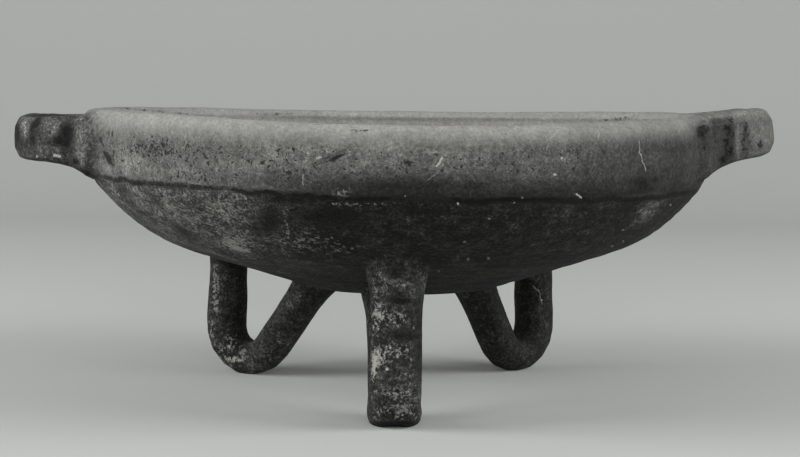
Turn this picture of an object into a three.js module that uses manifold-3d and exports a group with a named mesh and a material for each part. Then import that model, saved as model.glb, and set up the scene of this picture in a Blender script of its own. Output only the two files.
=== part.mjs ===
// A shallow fired-clay bowl on three looped feet, with a looped handle at each side.
// The bowl was thrown, and the feet and handles are rolls of clay bent into loops and luted on
// before firing, so the whole vessel is one solid. Millimetres, +Z up, the feet stand on z = 0.
import * as THREE from "three";
import { mergeVertices } from "three/addons/utils/BufferGeometryUtils.js";
import Module from "manifold-3d";

const wasm = await Module();
wasm.setup();
const { Manifold, Mesh: SolidMesh } = wasm;

// Bowl
const lipRadius = 155;          // outside of the lip
const rimHeight = 139.5;        // top of the lip above the ground
const rimWarp = 1.6;            // the lip rises by this at the handles and dips by it between them
const lipThickness = 11;
const wallThickness = 9;
const wallHeight = 33;          // upright wall, from the groove to the top of the lip
const wallFlare = 3.2;          // the upright wall leans out by this
const wallBulge = 2.2;          // and is this much fuller than straight
const grooveWidth = 3;
const grooveDepth = 1.4;
const baseHeight = 52.7;        // underside of the bowl above the ground
const baseRadius = 45;          // nearly flat middle of the underside
const baseCrown = 0.6;          // how far that middle sags
const coneRadius = 105;         // the shallow cone of the underside ends here
const coneSlope = 0.313;        // rise of that cone for each millimetre outward
const bellyLowPull = 22;        // how far the belly keeps the cone's slope
const bellyHighPull = 14.6;     // and how far it keeps the slope it has under the groove
const bellySteepness = 1.21;    // slope of the belly just under the groove
const bowlSway = 3.1;           // the base sits this far to the right of the rim
const bowlSegments = 64;
const coneStops = [0.3, 0.65];  // where the cone has a ring between its ends, as shares of it
const lipTurns = [30, 60, 90, 125, 160];    // degrees round the lip, from its outside over its top
const bellyRings = 8;
const wallRings = 4;
const insideBellyRings = 5;     // the inside is plainer
const insideWallRings = 2;

// Feet
const footLegRadius = 109.2;    // bowl's axis to the middle of a foot's upright leg
const footLegLean = 2.6;        // the leg's top stands in by this
const footBendRadius = 16.4;    // middle line of the bend on the ground
const footThickness = 18;       // in the plane of the loop
const footHeelSwell = 2.4;      // extra thickness where the leg turns into the bend
const footWear = 1.2;           // worn off underneath, which makes the flat it stands on
const footRootFlare = 3.2;      // clay smeared round each end, at each side
const footWidth = 21.4;
const frontFootWidth = 24;
const footSquareness = 2.2;     // 2 is an oval section, more is squarer
const heelShare = 0.12;         // how far the heel's swelling spreads, as a share of the roll
const feet = [                  // angles in degrees; strutLean is the inner strut's, from upright
  { bearing: -90.8, twist: 3.5, width: frontFootWidth, strutLean: 36 },
  { bearing: 148.4, twist: 0, width: footWidth, strutLean: 37 },
  { bearing: 47.6, twist: 0, width: footWidth, strutLean: 32.5 },
];

// Handles
const handleThickness = 17.5;   // in the plane of the loop
const leftHandleHeight = 23;
const rightHandleHeight = 23.4;
const handleStandOut = 29.3;    // from the lip to the outside of the loop
const handleShift = 0.85;       // the left one stands out this much more, the right one this much less
const handleDrop = 11.7;        // the loops' middle height is this far under the rim
const handleLift = 1.6;         // the right one is this much above that, the left one below
const handleRoll = 1;           // degrees that both loops lean back
const handleHalfSpan = 48;      // between the loop's own axis and the middle of an arm
const handleCorner = 20.5;      // middle line of the corners
const handleSpread = 8;         // each arm stands this much further out at the wall than at its corner
const handleRootFlare = 4;
const leftRootDrop = 8.2;       // the clay smeared round the arms reaches this much lower at the wall
const rightRootDrop = 7.3;
const rightRootRise = 1.6;      // and on the right one this much higher
const handleSquareness = 3.1;
const handles = [               // rise: degrees that the loop tilts up
  {
    bearing: 180,
    rise: 0.4,
    height: leftHandleHeight,
    standOut: handleStandOut + handleShift,
    middle: rimHeight - handleDrop - handleLift,
    rootDrop: leftRootDrop,
    rootRise: 0,
  },
  {
    bearing: 0,
    rise: 7.7,
    height: rightHandleHeight,
    standOut: handleStandOut - handleShift,
    middle: rimHeight - handleDrop + handleLift,
    rootDrop: rightRootDrop,
    rootRise: rightRootRise,
  },
];

// Rolls of clay
const rollSides = 14;
const footSteps = 24;
const handleSteps = 28;
const rootEmbed = 0.6;          // share of the wall's thickness that a roll's end reaches into it
const footFlareLength = 20;     // where the clay smeared round a roll's end has died out
const handleFlareLength = 24;
const weld = 1e-4;              // points closer than this are one

const clay = new THREE.MeshStandardMaterial({ color: 0x6d6c67, roughness: 0.92, metalness: 0 });
const degrees = Math.PI / 180;

// Outside of the bowl from the middle of the base to the foot of the lip, without the groove.
const grooveHeight = rimHeight - wallHeight;
const grooveRadius = lipRadius - wallFlare;
const lipHeight = rimHeight - lipThickness / 2;
const coneHeight = baseHeight + baseCrown + (coneRadius - baseRadius) * coneSlope;
const belly = new THREE.CubicBezierCurve(
  new THREE.Vector2(coneRadius, coneHeight),
  new THREE.Vector2(coneRadius + bellyLowPull, coneHeight + bellyLowPull * coneSlope),
  new THREE.Vector2(grooveRadius - bellyHighPull / bellySteepness, grooveHeight - bellyHighPull),
  new THREE.Vector2(grooveRadius, grooveHeight),
);
const uprightWall = new THREE.QuadraticBezierCurve(
  new THREE.Vector2(grooveRadius, grooveHeight),
  new THREE.Vector2(lipRadius - wallFlare / 2 + wallBulge, (grooveHeight + lipHeight) / 2),
  new THREE.Vector2(lipRadius, lipHeight),
);

function wallLine(bellyPoints, wallPoints) {
  const cone = coneStops.map((t) => new THREE.Vector2(
    THREE.MathUtils.lerp(baseRadius, coneRadius, t),
    THREE.MathUtils.lerp(baseHeight + baseCrown, coneHeight, t),
  ));
  return [
    new THREE.Vector2(baseRadius / 2, baseHeight + baseCrown / 4),
    new THREE.Vector2(baseRadius, baseHeight + baseCrown),
    ...cone,
    ...belly.getPoints(bellyPoints),
    ...uprightWall.getPoints(wallPoints).slice(1),
  ];
}

// The same line moved into the clay by a distance, each point along its own normal.
function movedInward(line, distance) {
  return line.map((point, i) => {
    const before = line[Math.max(i - 1, 0)];
    const after = line[Math.min(i + 1, line.length - 1)];
    const along = after.clone().sub(before).normalize();
    return new THREE.Vector2(point.x - along.y * distance, point.y + along.x * distance);
  });
}

// Height of the outside surface at a radius, and radius of the outside surface at a height.
const surface = wallLine(3 * bellyRings, 3 * wallRings);
function heightAt(radius) {
  const i = Math.max(1, surface.findIndex((p) => p.x >= radius));
  const [a, b] = [surface[i - 1], surface[i]];
  return THREE.MathUtils.mapLinear(radius, a.x, b.x, a.y, b.y);
}
function radiusAt(height) {
  const found = surface.findIndex((p) => p.y >= height);
  const i = found < 1 ? surface.length - 1 : found;
  const [a, b] = [surface[i - 1], surface[i]];
  return THREE.MathUtils.mapLinear(height, a.y, b.y, a.x, b.x);
}

// Hand throwing: the rim rises towards the handles, and the base sits a little to one side.
function sway(height) {
  return bowlSway * (1 - (height - baseHeight) / (rimHeight - baseHeight));
}
function throwByHand(geometry) {
  const p = geometry.attributes.position;
  for (let i = 0; i < p.count; i++) {
    const [x, y, z] = [p.getX(i), p.getY(i), p.getZ(i)];
    const up = THREE.MathUtils.clamp((z - baseHeight) / (rimHeight - baseHeight), 0, 1.5);
    const lift = rimWarp * Math.cos(2 * Math.atan2(y, x)) * up * up;
    p.setXYZ(i, x + sway(z), y, z + (Math.hypot(x, y) > 1 ? lift : 0));
  }
  return geometry;
}

// A line of (radius, height) points turned about the upright axis, as a solid.
function turned(line) {
  const lathe = new THREE.LatheGeometry(line, bowlSegments);
  lathe.rotateX(Math.PI / 2);
  return asSolid(throwByHand(lathe));
}

function asSolid(geometry) {
  geometry.deleteAttribute("normal");
  geometry.deleteAttribute("uv");
  const merged = mergeVertices(geometry, weld);
  return new Manifold(new SolidMesh({
    numProp: 3,
    vertProperties: merged.attributes.position.array,
    triVerts: new Uint32Array(merged.index.array),
  }));
}

function bowl() {
  const outside = wallLine(bellyRings, wallRings);
  const groove = [
    new THREE.Vector2(radiusAt(grooveHeight - grooveWidth / 2), grooveHeight - grooveWidth / 2),
    new THREE.Vector2(grooveRadius - grooveDepth, grooveHeight),
    new THREE.Vector2(radiusAt(grooveHeight + grooveWidth / 2), grooveHeight + grooveWidth / 2),
  ];
  const below = outside.filter((p) => p.y < grooveHeight - grooveWidth);
  const above = outside.filter((p) => p.y > grooveHeight + grooveWidth);
  const lip = lipTurns.map((turn) => new THREE.Vector2(
    lipRadius - lipThickness / 2 + (lipThickness / 2) * Math.cos(turn * degrees),
    lipHeight + (lipThickness / 2) * Math.sin(turn * degrees),
  ));
  const inside = movedInward(wallLine(insideBellyRings, insideWallRings), wallThickness).reverse();
  return turned([
    new THREE.Vector2(0, baseHeight),
    ...below,
    ...groove,
    ...above,
    ...lip,
    ...inside,
    new THREE.Vector2(0, baseHeight + wallThickness),
  ]);
}

// Everything inside the middle of the wall: what trims the ends of the rolls.
function core() {
  const line = movedInward(wallLine(bellyRings, wallRings), wallThickness * rootEmbed);
  const top = rimHeight + lipThickness;
  return turned([
    new THREE.Vector2(0, baseHeight + wallThickness * rootEmbed),
    ...line,
    new THREE.Vector2(line.at(-1).x, top),
    new THREE.Vector2(0, top),
  ]);
}

// A roll of clay along a flat path. The path's own plane is spanned by `out` and `up`, `across` is
// its normal, and section(t) gives the roll's half width across the plane, half thickness in it,
// and the shift of its middle along `across`.
function roll(path, steps, plane, squareness, section) {
  const geometry = new THREE.CylinderGeometry(1, 1, 1, rollSides, steps);
  const p = geometry.attributes.position;
  const stations = path.getSpacedPoints(steps);
  for (let i = 0; i < p.count; i++) {
    const t = 0.5 + p.getY(i);
    const k = Math.round(t * steps);
    const before = stations[Math.max(k - 1, 0)];
    const after = stations[Math.min(k + 1, steps)];
    const along = after.clone().sub(before).normalize();
    const { width, thickness, shift = 0 } = section(t);
    const [x, z] = [p.getX(i), p.getZ(i)];
    const round = Math.hypot(x, z) < 0.5 ? 0
      : (Math.abs(x) ** squareness + Math.abs(z) ** squareness) ** (-1 / squareness);
    const point = plane.origin.clone()
      .addScaledVector(plane.out, stations[k].x - along.y * z * round * thickness)
      .addScaledVector(plane.up, stations[k].y + along.x * z * round * thickness)
      .addScaledVector(plane.across, x * round * width + shift);
    p.setXYZ(i, point.x, point.y, point.z);
  }
  return asSolid(geometry);
}

// Two straight stretches with a round bend between them.
function bent(start, centre, radius, fromAngle, toAngle, end) {
  const path = new THREE.CurvePath();
  const arc = new THREE.EllipseCurve(centre.x, centre.y, radius, radius, fromAngle, toAngle, true);
  path.add(new THREE.LineCurve(start, arc.getPoint(0)));
  path.add(arc);
  path.add(new THREE.LineCurve(arc.getPoint(1), end));
  return path;
}

// 1 where a roll leaves the wall, dying out along the flare. `buried` of each end is in the wall.
function smear(t, length, buried, flareLength) {
  const distance = Math.min(t, 1 - t) * length - buried;
  return (1 - THREE.MathUtils.clamp(distance / flareLength, 0, 1)) ** 2;
}

function foot({ bearing, twist, width, strutLean }) {
  const half = footThickness / 2;
  const lean = strutLean * degrees;
  const centre = new THREE.Vector2(footLegRadius - footBendRadius, footBendRadius + half - footWear);
  const strutLow = new THREE.Vector2(
    centre.x - footBendRadius * Math.cos(lean),
    centre.y - footBendRadius * Math.sin(lean),
  );
  // The strut runs on until it is inside the wall.
  const strutTop = strutLow.clone();
  while (strutTop.x > 0 && strutTop.y < heightAt(strutTop.x) + wallThickness)
    strutTop.add(new THREE.Vector2(-Math.sin(lean), Math.cos(lean)));
  const legTop = new THREE.Vector2(footLegRadius - footLegLean, 0);
  legTop.y = heightAt(legTop.x) + wallThickness;
  const path = bent(legTop, centre, footBendRadius, 0, Math.PI + lean, strutTop);
  const length = path.getLength();
  const legShare = path.curves[0].getLength() / length;
  const azimuth = (bearing + twist) * degrees;
  const plane = {
    origin: new THREE.Vector3(),
    out: new THREE.Vector3(Math.cos(azimuth), Math.sin(azimuth), 0),
    up: new THREE.Vector3(0, 0, 1),
    across: new THREE.Vector3(Math.sin(azimuth), -Math.cos(azimuth), 0),
  };
  // Turned about the upright leg, so that a twist leaves the leg where it stands.
  plane.origin.set(Math.cos(bearing * degrees), Math.sin(bearing * degrees), 0)
    .sub(plane.out).multiplyScalar(footLegRadius);
  plane.origin.x += sway(baseHeight);
  return roll(path, footSteps, plane, footSquareness, (t) => {
    const root = smear(t, length, wallThickness, footFlareLength);
    const heel = Math.exp(-(((t - legShare) / heelShare) ** 2));
    return {
      width: width / 2 + footRootFlare * root,
      thickness: half + footRootFlare * root + footHeelSwell * heel / 2,
    };
  });
}

function handle({ bearing, rise, height, standOut, middle, rootDrop, rootRise }) {
  const bar = lipRadius + standOut - handleThickness / 2;
  const wall = radiusAt(middle);
  const rootSpan = handleHalfSpan + handleSpread;
  // The wall curves away from the arm's outer side, so the arm is buried until that side is in it.
  const outerSide = rootSpan + handleThickness / 2 + handleRootFlare;
  const rootX = Math.sqrt(wall ** 2 - outerSide ** 2) - wallThickness;
  const buried = Math.sqrt(wall ** 2 - rootSpan ** 2) - rootX;
  // The corner's arc ends where it meets an arm that spreads towards the wall.
  const cornerX = bar - handleCorner;
  const cornerY = handleHalfSpan - handleCorner;
  const arcEnd = Math.PI / 2 + Math.atan2(handleSpread, cornerX - rootX);
  const near = new THREE.EllipseCurve(cornerX, -cornerY, handleCorner, handleCorner, -arcEnd, 0);
  const far = new THREE.EllipseCurve(cornerX, cornerY, handleCorner, handleCorner, 0, arcEnd);
  const path = new THREE.CurvePath();
  path.add(new THREE.LineCurve(new THREE.Vector2(rootX, -rootSpan), near.getPoint(0)));
  path.add(near);
  path.add(new THREE.LineCurve(near.getPoint(1), far.getPoint(0)));
  path.add(far);
  path.add(new THREE.LineCurve(far.getPoint(1), new THREE.Vector2(rootX, rootSpan)));
  const length = path.getLength();
  const azimuth = bearing * degrees;
  const tilt = rise * degrees;
  const outward = new THREE.Vector3(Math.cos(azimuth), Math.sin(azimuth), 0);
  const up = new THREE.Vector3(0, 0, 1);
  const plane = {
    origin: new THREE.Vector3(),
    out: outward.clone().multiplyScalar(Math.cos(tilt)).addScaledVector(up, Math.sin(tilt)),
    up: new THREE.Vector3(-Math.sin(azimuth), Math.cos(azimuth), 0),
    across: up.clone().multiplyScalar(Math.cos(tilt)).addScaledVector(outward, -Math.sin(tilt)),
  };
  // Leaning back lowers whichever arm is behind, +Y.
  const lean = -handleRoll * degrees * Math.cos(azimuth);
  plane.up.applyAxisAngle(plane.out, lean);
  plane.across.applyAxisAngle(plane.out, lean);
  // The loop tilts about the wall, at its own middle height.
  plane.origin.copy(outward).multiplyScalar(wall).addScaledVector(plane.out, -wall)
    .addScaledVector(up, middle);
  return roll(path, handleSteps, plane, handleSquareness, (t) => {
    const root = smear(t, length, buried, handleFlareLength);
    return {
      width: height / 2 + ((rootDrop + rootRise) / 2) * root,
      thickness: handleThickness / 2 + handleRootFlare * root,
      shift: ((rootRise - rootDrop) / 2) * root,
    };
  });
}

function vessel() {
  const inside = core();
  const block = new THREE.BoxGeometry(4 * lipRadius, 4 * lipRadius, rimHeight);
  const ground = asSolid(block.translate(0, 0, -rimHeight / 2));
  const rolls = [...feet.map(foot), ...handles.map(handle)].map((one) => one.subtract(inside));
  let solid = bowl();
  for (const one of rolls) solid = solid.add(one);
  return solid.subtract(ground);
}

function asGeometry(solid) {
  const { vertProperties, triVerts } = solid.getMesh();
  const geometry = new THREE.BufferGeometry();
  geometry.setAttribute("position", new THREE.BufferAttribute(vertProperties, 3));
  geometry.setIndex(new THREE.BufferAttribute(triVerts, 1));
  geometry.computeVertexNormals();
  return geometry;
}

const tripodBowl = new THREE.Mesh(asGeometry(vessel()), clay);
tripodBowl.name = "tripod_bowl";

// The origin is on the ground, under the middle of the whole vessel.
tripodBowl.geometry.computeBoundingBox();
const middle = tripodBowl.geometry.boundingBox.getCenter(new THREE.Vector3());
tripodBowl.position.set(-middle.x, -middle.y, 0);

const group = new THREE.Group();
group.add(tripodBowl);
export default group;
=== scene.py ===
import math

import bpy
import numpy as np
from mathutils import Matrix, Vector


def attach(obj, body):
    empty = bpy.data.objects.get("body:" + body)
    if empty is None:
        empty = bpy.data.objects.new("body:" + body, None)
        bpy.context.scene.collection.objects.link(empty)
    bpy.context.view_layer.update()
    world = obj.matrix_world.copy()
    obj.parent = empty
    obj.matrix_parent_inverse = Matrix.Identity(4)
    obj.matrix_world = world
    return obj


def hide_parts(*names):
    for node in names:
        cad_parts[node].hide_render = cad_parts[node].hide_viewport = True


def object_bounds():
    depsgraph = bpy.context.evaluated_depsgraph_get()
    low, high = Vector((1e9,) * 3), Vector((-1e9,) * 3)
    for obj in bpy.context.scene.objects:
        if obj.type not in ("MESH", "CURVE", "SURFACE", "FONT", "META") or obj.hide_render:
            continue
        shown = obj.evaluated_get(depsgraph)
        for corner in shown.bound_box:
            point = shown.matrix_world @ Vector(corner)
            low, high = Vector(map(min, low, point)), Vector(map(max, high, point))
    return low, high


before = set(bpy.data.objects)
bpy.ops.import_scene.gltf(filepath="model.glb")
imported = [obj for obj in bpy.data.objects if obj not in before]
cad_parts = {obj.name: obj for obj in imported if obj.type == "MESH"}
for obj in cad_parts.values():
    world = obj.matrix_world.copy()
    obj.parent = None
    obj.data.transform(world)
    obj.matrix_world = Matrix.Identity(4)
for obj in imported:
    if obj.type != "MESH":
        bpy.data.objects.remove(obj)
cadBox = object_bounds()
print("frame loaded, box", [tuple(round(v, 4) for v in corner) for corner in cadBox])


# Small helpers

def deselectAll():
    bpy.ops.object.select_all(action="DESELECT")


def makeActive(piece):
    deselectAll()
    piece.select_set(True)
    bpy.context.view_layer.objects.active = piece


def addModifier(piece, kind, **settings):
    makeActive(piece)
    bpy.ops.object.modifier_add(type=kind)
    modifier = piece.modifiers[-1]
    for key, value in settings.items():
        setattr(modifier, key, value)
    return modifier


def applyModifier(piece, kind, **settings):
    modifier = addModifier(piece, kind, **settings)
    bpy.ops.object.modifier_apply(modifier=modifier.name)


def readPoints(piece):
    flat = np.empty(len(piece.data.vertices) * 3, np.float32)
    piece.data.vertices.foreach_get("co", flat)
    return flat.reshape(-1, 3).astype(np.float64)


def writePoints(piece, places):
    piece.data.vertices.foreach_set("co", places.astype(np.float32).ravel())
    piece.data.update()


def readNormals(piece):
    flat = np.empty(len(piece.data.vertices) * 3, np.float32)
    piece.data.vertex_normals.foreach_get("vector", flat)
    return flat.reshape(-1, 3).astype(np.float64)


tiny = 1e-6              # metres, keeps a distance that is divided by from being nought
millimetre = 0.001
tableSize = 65536        # a power of two
seedStep = 7919
gridPrimes = (73856093, 19349663, 83492791)        # one for each axis
octaveFall = 0.8
randomTable = np.random.default_rng(11).random(tableSize) * 2 - 1


def lumps(places, size, seed):        # smooth noise from -1 to 1, its lumps about that size
    grid = places / size
    cell = np.floor(grid).astype(np.int64)
    part = grid - cell
    part = part * part * (3 - 2 * part)
    total = np.zeros(len(places))
    for corner in np.ndindex(2, 2, 2):
        key = seed * seedStep
        weight = 1.0
        for axis, prime in enumerate(gridPrimes):
            key = key ^ ((cell[:, axis] + corner[axis]) * prime)
            weight = weight * np.abs(1 - corner[axis] - part[:, axis])
        total += weight * randomTable[key & (tableSize - 1)]
    return total


def mottle(places, size, octaves, seed):        # lumps of several sizes, each half as large and weaker
    falls = [2 ** (k * octaveFall) for k in range(octaves)]
    total = sum(lumps(places, size / 2 ** k, seed + k) / fall for k, fall in enumerate(falls))
    return total / sum(1 / fall for fall in falls)


def fade(value, low, high):        # 0 at low, 1 at high, smooth between
    t = np.clip((value - low) / (high - low), 0, 1)
    return t * t * (3 - 2 * t)


def blend(first, second, share):        # the first at share 0, the second at share 1
    return first + (second - first) * share


# Camera, where the photograph was taken from

shot = {
    "side": 0.00336,         # metres to the right of the vessel's middle
    "distance": 0.9224,
    "height": 0.1549,
    "pitchDown": 4.54,       # degrees
    "roll": 0.578,
    "focal": 82.65,          # millimetres
    "sensor": 36,            # millimetres across
    "photoSize": (800, 457),
}


def addCamera():
    bpy.ops.object.camera_add(location=(shot["side"], -shot["distance"], shot["height"]))
    camera = bpy.context.object
    camera.name = "photoCamera"
    tilt = Matrix.Rotation(math.radians(90 - shot["pitchDown"]), 4, "X")
    roll = Matrix.Rotation(math.radians(shot["roll"]), 4, "Z")
    camera.rotation_euler = (tilt @ roll).to_euler()
    camera.data.sensor_width = shot["sensor"]
    camera.data.lens = shot["focal"]
    camera.data.clip_start = 0.05
    camera.data.clip_end = 30
    bpy.context.scene.camera = camera
    bpy.context.view_layer.update()
    return camera


camera = addCamera()


def pixelsOf(places):        # where points fall in the photograph, in pixels
    inverse = np.array(camera.matrix_world.inverted())
    seen = places @ inverse[:3, :3].T + inverse[:3, 3]
    width, height = shot["photoSize"]
    scale = width * shot["focal"] / shot["sensor"]
    across = width / 2 + scale * seen[:, 0] / -seen[:, 2]
    down = height / 2 - scale * seen[:, 1] / -seen[:, 2]
    return np.stack([across, down], 1)


print("camera set")


# Floor and light

studio = {
    "floorHalf": 3.0,
    "backAt": 2.3,           # where the floor turns up behind the vessel
    "backHeight": 2.6,
    "sweep": 1.2,            # radius of that turn
    "sweepParts": 24,
    "near": 0.01,            # a corner this close to the back edge belongs to it
    "paper": (0.43, 0.44, 0.43, 1),
    "paperRoughness": 0.95,
    "ambient": (0.98, 1.0, 0.98, 1),
    "ambientStrength": 0.28,
    "aim": (0, 0, 0.09),     # where the lamps point
}
lamps = [        # name, place, size, watts
    ("leftLight", (-1.9, -0.4, 0.8), 1.4, 47),
    ("rightLight", (1.9, -0.4, 0.8), 1.4, 43),
    ("frontLight", (0.2, -1.9, 0.5), 1.6, 24),
    ("highLight", (-0.95, -1.6, 1.6), 1.4, 3),
]


def plainMaterial(name, colour, roughness):
    material = bpy.data.materials.new(name)
    material.use_nodes = True
    shader = material.node_tree.nodes["Principled BSDF"]
    shader.inputs["Base Color"].default_value = colour
    shader.inputs["Roughness"].default_value = roughness
    return material


def addFloor():
    half = studio["floorHalf"]
    bpy.ops.mesh.primitive_plane_add(size=2 * half, location=(0, studio["backAt"] - half, 0))
    floor = bpy.context.object
    floor.name = "studioFloor"
    makeActive(floor)
    bpy.ops.object.transform_apply(location=True, rotation=True, scale=True)
    backEdge = [e for e in floor.data.edges
                if all(floor.data.vertices[v].co.y > studio["backAt"] - studio["near"] for v in e.vertices)]
    bpy.ops.object.mode_set(mode="EDIT")
    bpy.ops.mesh.select_all(action="DESELECT")
    bpy.ops.object.mode_set(mode="OBJECT")
    backEdge[0].select = True
    for index in backEdge[0].vertices:
        floor.data.vertices[index].select = True
    bpy.ops.object.mode_set(mode="EDIT")
    bpy.ops.mesh.select_mode(type="EDGE")
    rise = {"value": (0, 0, studio["backHeight"])}
    bpy.ops.mesh.extrude_region_move(TRANSFORM_OT_translate=rise)
    bpy.ops.object.mode_set(mode="OBJECT")
    for edge in floor.data.edges:
        ends = [floor.data.vertices[v].co for v in edge.vertices]
        edge.select = all(abs(p.y - studio["backAt"]) < studio["near"] and p.z < studio["near"] for p in ends)
    bpy.ops.object.mode_set(mode="EDIT")
    bpy.ops.mesh.bevel(offset=studio["sweep"], segments=studio["sweepParts"])
    bpy.ops.object.mode_set(mode="OBJECT")
    bpy.ops.object.shade_smooth()
    floor.data.materials.append(plainMaterial("palePaper", studio["paper"], studio["paperRoughness"]))


def addLamps():
    for name, place, size, watts in lamps:
        bpy.ops.object.light_add(type="AREA", location=place)
        lamp = bpy.context.object
        lamp.name = name
        lamp.data.shape = "DISK"
        lamp.data.size = size
        lamp.data.energy = watts
        towards = Vector(studio["aim"]) - Vector(place)
        lamp.rotation_euler = towards.to_track_quat("-Z", "Y").to_euler()
    world = bpy.data.worlds.new("studioAir")
    world.use_nodes = True
    air = world.node_tree.nodes["Background"]
    air.inputs["Color"].default_value = studio["ambient"]
    air.inputs["Strength"].default_value = studio["ambientStrength"]
    bpy.context.scene.world = world
    bpy.context.scene.view_settings.view_transform = "Standard"


addFloor()
addLamps()
print("studio set")


# The vessel's form: a close remesh of the solid, rounded off where clay is smeared and worn

vessel = {
    "mergeWithin": 1e-6,
    "voxel": 0.0009,         # metres between the points of the remesh
    "flats": 64,             # the solid bowl is turned in this many flats
    "axisAtRim": 0.00072,    # X of the bowl's axis at the rim and at the base
    "axisAtBase": 0.00382,
    "rimHeight": 0.1395,
    "baseHeight": 0.0527,
    "baseRadius": 0.045,
    "underSlope": 0.30,      # rise of the underside for each metre outward
    "softening": 7,          # rounds of smoothing
    "filletRounds": 60,      # rounds that fill the creases round the roots of the rolls
    "filletStart": 0.000045,        # a crease deeper than this, in metres, is filled
    "filletStep": 0.8,       # share of the rest of that depth filled in each round
    "filletEnd": 1e-6,       # nothing is left to fill below this
    "unseenTurn": -0.05,     # a face this far turned from the camera isn't seen
    "unseenInside": 0.6,     # nor one with more than this share in the inside
    "unseenShare": 0.2,      # faces kept inside, behind and underneath, as a share
    "faces": 196000,
}


def copyOfNode(node, name):
    piece = bpy.data.objects.new(name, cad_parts[node].data.copy())
    bpy.context.scene.collection.objects.link(piece)
    makeActive(piece)
    bpy.ops.object.mode_set(mode="EDIT")
    bpy.ops.mesh.select_all(action="SELECT")
    bpy.ops.mesh.remove_doubles(threshold=vessel["mergeWithin"])
    bpy.ops.object.mode_set(mode="OBJECT")
    return piece


def heightShare(height):        # 0 at the bowl's base, 1 at its rim
    return (height - vessel["baseHeight"]) / (vessel["rimHeight"] - vessel["baseHeight"])


def bowlAxis(height):        # X of the bowl's leaning axis at a height
    return blend(vessel["axisAtBase"], vessel["axisAtRim"], np.clip(heightShare(height), 0, 1))


def roundOffFlats(piece):        # a turned solid's flats become arcs
    places = readPoints(piece)
    centre = bowlAxis(places[:, 2])
    turn = np.arctan2(places[:, 1], places[:, 0] - centre)
    flat = 2 * math.pi / vessel["flats"]
    offMiddle = np.mod(turn, flat) - flat / 2
    grow = np.cos(offMiddle) / math.cos(flat / 2)
    places[:, 0] = centre + (places[:, 0] - centre) * grow
    places[:, 1] *= grow
    writePoints(piece, places)


def neighbours(piece):
    edges = np.empty(len(piece.data.edges) * 2, np.int32)
    piece.data.edges.foreach_get("vertices", edges)
    edges = edges.reshape(-1, 2)
    count = np.bincount(edges.ravel(), minlength=len(piece.data.vertices))
    return edges, np.maximum(count, 1)


def meanOfNeighbours(places, edges, count):
    total = np.empty_like(places)
    for axis in range(3):
        column = places[:, axis]
        total[:, axis] = (
            np.bincount(edges[:, 0], weights=column[edges[:, 1]], minlength=len(column))
            + np.bincount(edges[:, 1], weights=column[edges[:, 0]], minlength=len(column))
        ) / count
    return total


def fillCreases(piece):        # the smeared clay round the roots of feet and handles
    edges, count = neighbours(piece)
    for _ in range(vessel["filletRounds"]):
        places = readPoints(piece)
        normals = readNormals(piece)
        lift = ((meanOfNeighbours(places, edges, count) - places) * normals).sum(1)
        lift = np.maximum(lift - vessel["filletStart"], 0)
        if lift.max() < vessel["filletEnd"]:
            break
        writePoints(piece, places + normals * lift[:, None] * vessel["filletStep"])


bowl = copyOfNode("tripod_bowl", "firedBowl")
applyModifier(bowl, "REMESH", mode="VOXEL", voxel_size=vessel["voxel"], adaptivity=0)
roundOffFlats(bowl)
fillCreases(bowl)
applyModifier(bowl, "SMOOTH", factor=0.5, iterations=vessel["softening"])
print("vessel remeshed,", len(bowl.data.vertices), "points")


# Relief: what the potter's hands, the wheel and the ground left on the surface

relief = {        # in metres
    "rollDents": 0.0005,     # depth of the lumps on feet and handles, which were shaped by hand
    "grooveHeight": 0.1102,
    "grooveSag": 0.0050,     # how much lower the groove lies on the right than on the left
    "sagAlong": (-0.14, 0.04),        # X where it starts and stops to sink
    "grooveDepth": 0.0006,
    "grooveHalf": 0.0012,
    "grooveDrift": 0.0006,   # how far it wanders up and down
    "grooveWear": (0.35, 1.10),       # its depth where most worn and least worn, as shares
    "grooveEnds": (0.130, 0.146),     # X where it fades out, at the handles
    "secondBelow": 0.0029,   # a fainter line this far below the groove
    "secondDepth": 0.0004,
    "rimWarp": 0.0016,       # rise of the rim at the handles
    "turningLines": 0.00010,        # depth of the fine lines left by the wheel
    "turningPitch": 0.0042,
    "turningShift": 0.5,     # how far they wander, as a share of the pitch
    "wrinkleHeight": (0.108, 0.116),        # where the wrinkles of the handle begin
    "lipHeight": (0.118, 0.137),            # where the lip's rise begins and is full
}
patchiness = {        # how marks come and go: size of the lumps in metres, how many sizes, seed
    "grooveDrift": (0.06, 1, 41),
    "grooveWear": (0.02, 2, 43),
    "second": (0.035, 1, 45),
    "turningShift": (0.09, 1, 47),
    "turningDepth": (0.05, 1, 51),
    "rollDents": (0.02, 2, 61),
    "dirt": (0.03, 3, 89),
    "unseenCrust": (0.05, 3, 91),
    "pits": (0.022, 2, 95),
}
unevenness = [        # metres in or out, size of the lumps, how many sizes, seed
    (0.00040, 0.05, 1, 3),
    (0.00020, 0.016, 2, 21),
    (0.00008, 0.004, 2, 33),
]
lipRise = {        # where the lip stands higher or lower than a level one
    "turn": (-180, -165, -150, -122, -110, -99, -88, -76, -62, -40, -10, 40, 90, 140, 180),        # degrees
    "rise": (0, 0, 0.9, 0.85, 0.2, -0.5, -1.0, -1.0, -0.5, -0.3, 0, 0.3, 0.7, 0.3, 0),        # millimetres
}
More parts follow.
